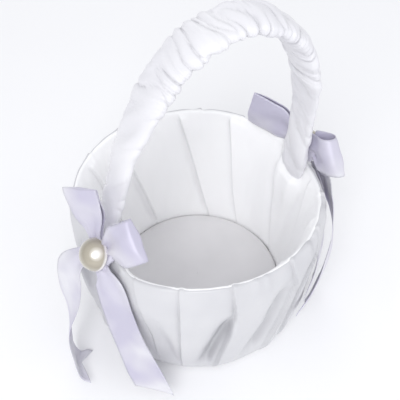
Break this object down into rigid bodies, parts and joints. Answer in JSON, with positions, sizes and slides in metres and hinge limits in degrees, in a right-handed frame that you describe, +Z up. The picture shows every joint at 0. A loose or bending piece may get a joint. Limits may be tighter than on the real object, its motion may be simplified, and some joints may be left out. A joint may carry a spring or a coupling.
{
  "type": "flower girl basket",
  "caption": "Round basket covered in pleated white satin, with a padded handle arched over the top, a padded floor disc and a ribbon bow with a half pearl at each end of the handle",
  "frame": {"origin": "centre of the underside, on the ground", "axes": "+Z up; +X along the handle's span towards the right bow; -Y is the front"},
  "size_m": [0.199, 0.1652, 0.2166],
  "materials": {
    "white_satin": "soft white satin, low sheen",
    "ribbon_satin": "white satin ribbon with woven edges",
    "wadding": "matte polyester wadding",
    "grey_board": "matte grey board",
    "strip_plastic": "satin-smooth plastic strip",
    "staple_steel": "bright wire",
    "adhesive": "dried clear adhesive",
    "pearl_lacquer": "ivory pearl lacquer, glossy"
  },
  "bodies": {
    "basket": {"outer_cover": "white_satin", "wall_core": "grey_board", "wall_wadding": "wadding", "inner_lining": "white_satin", "underside_cover": "white_satin", "base_board": "grey_board", "handle_strip": "strip_plastic", "handle_wadding": "wadding", "handle_sleeve": "white_satin", "left_staple": "staple_steel", "right_staple": "staple_steel", "left_back_loop": "ribbon_satin", "left_front_loop": "ribbon_satin", "left_knot": "ribbon_satin", "left_pearl_seat": "adhesive", "left_pearl": "pearl_lacquer", "right_back_loop": "ribbon_satin", "right_front_loop": "ribbon_satin", "right_knot": "ribbon_satin", "right_pearl_seat": "adhesive", "right_pearl": "pearl_lacquer"},
    "floor_pad": {"floor_board": "grey_board", "floor_wadding": "wadding", "floor_cover": "white_satin"},
    "left_back_tail_body": {"left_back_tail": "ribbon_satin"},
    "left_front_tail_body": {"left_front_tail": "ribbon_satin"},
    "right_tails": {"right_back_tail": "ribbon_satin", "right_front_tail": "ribbon_satin"}
  },
  "joints": [
    {"name": "floor_pad_lift", "type": "slide", "parent": "basket", "child": "floor_pad", "axis": [0, 0, 1], "range_m": [0, 0.06]},
    {"name": "left_back_tail_swing", "type": "hinge", "parent": "basket", "child": "left_back_tail_body", "pos_m": [-0.0766, -0.0224, 0.0876], "axis": [-0.2588, 0.9659, 0], "range_deg": [0, 60]},
    {"name": "left_front_tail_swing", "type": "hinge", "parent": "basket", "child": "left_front_tail_body", "pos_m": [-0.0766, -0.0224, 0.0876], "axis": [-0.2588, 0.9659, 0], "range_deg": [0, 50]},
    {"name": "right_tails_swing", "type": "hinge", "parent": "basket", "child": "right_tails", "pos_m": [0.0842, -0.0018, 0.0906], "axis": [0, -1, 0], "range_deg": [0, 60]}
  ]
}
